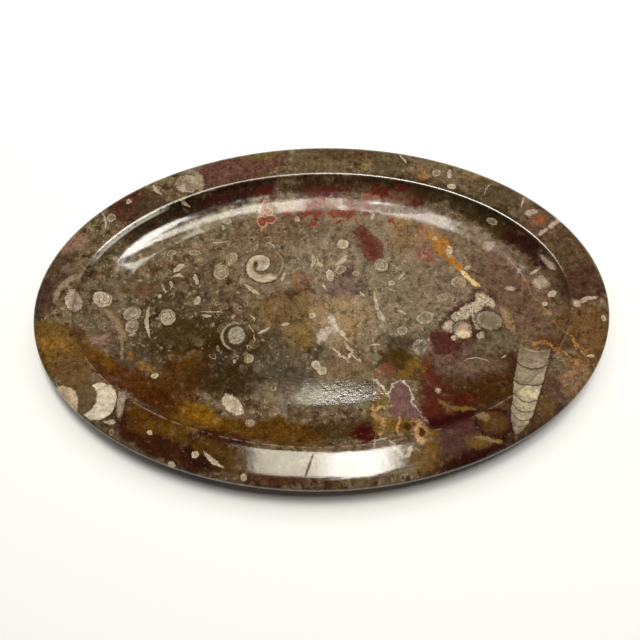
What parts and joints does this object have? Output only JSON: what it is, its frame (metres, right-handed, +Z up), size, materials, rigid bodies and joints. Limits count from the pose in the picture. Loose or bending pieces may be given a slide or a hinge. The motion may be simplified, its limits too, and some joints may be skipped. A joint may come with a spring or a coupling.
{
  "type": "oval fossil stone plate",
  "caption": "Oval serving plate carved from one slab of polished fossil limestone, with a broad rim, a coved shallow well and a flat foot.",
  "frame": {"origin": "under the middle of the flat foot, at the height of the surface that the plate stands on", "axes": "+X along the plate's length, +Y across it, +Z up through the well"},
  "size_m": [0.38, 0.25, 0.022],
  "materials": {
    "fossil_limestone": "polished"
  },
  "bodies": {
    "root": {"plate": "fossil_limestone"}
  },
  "joints": []
}
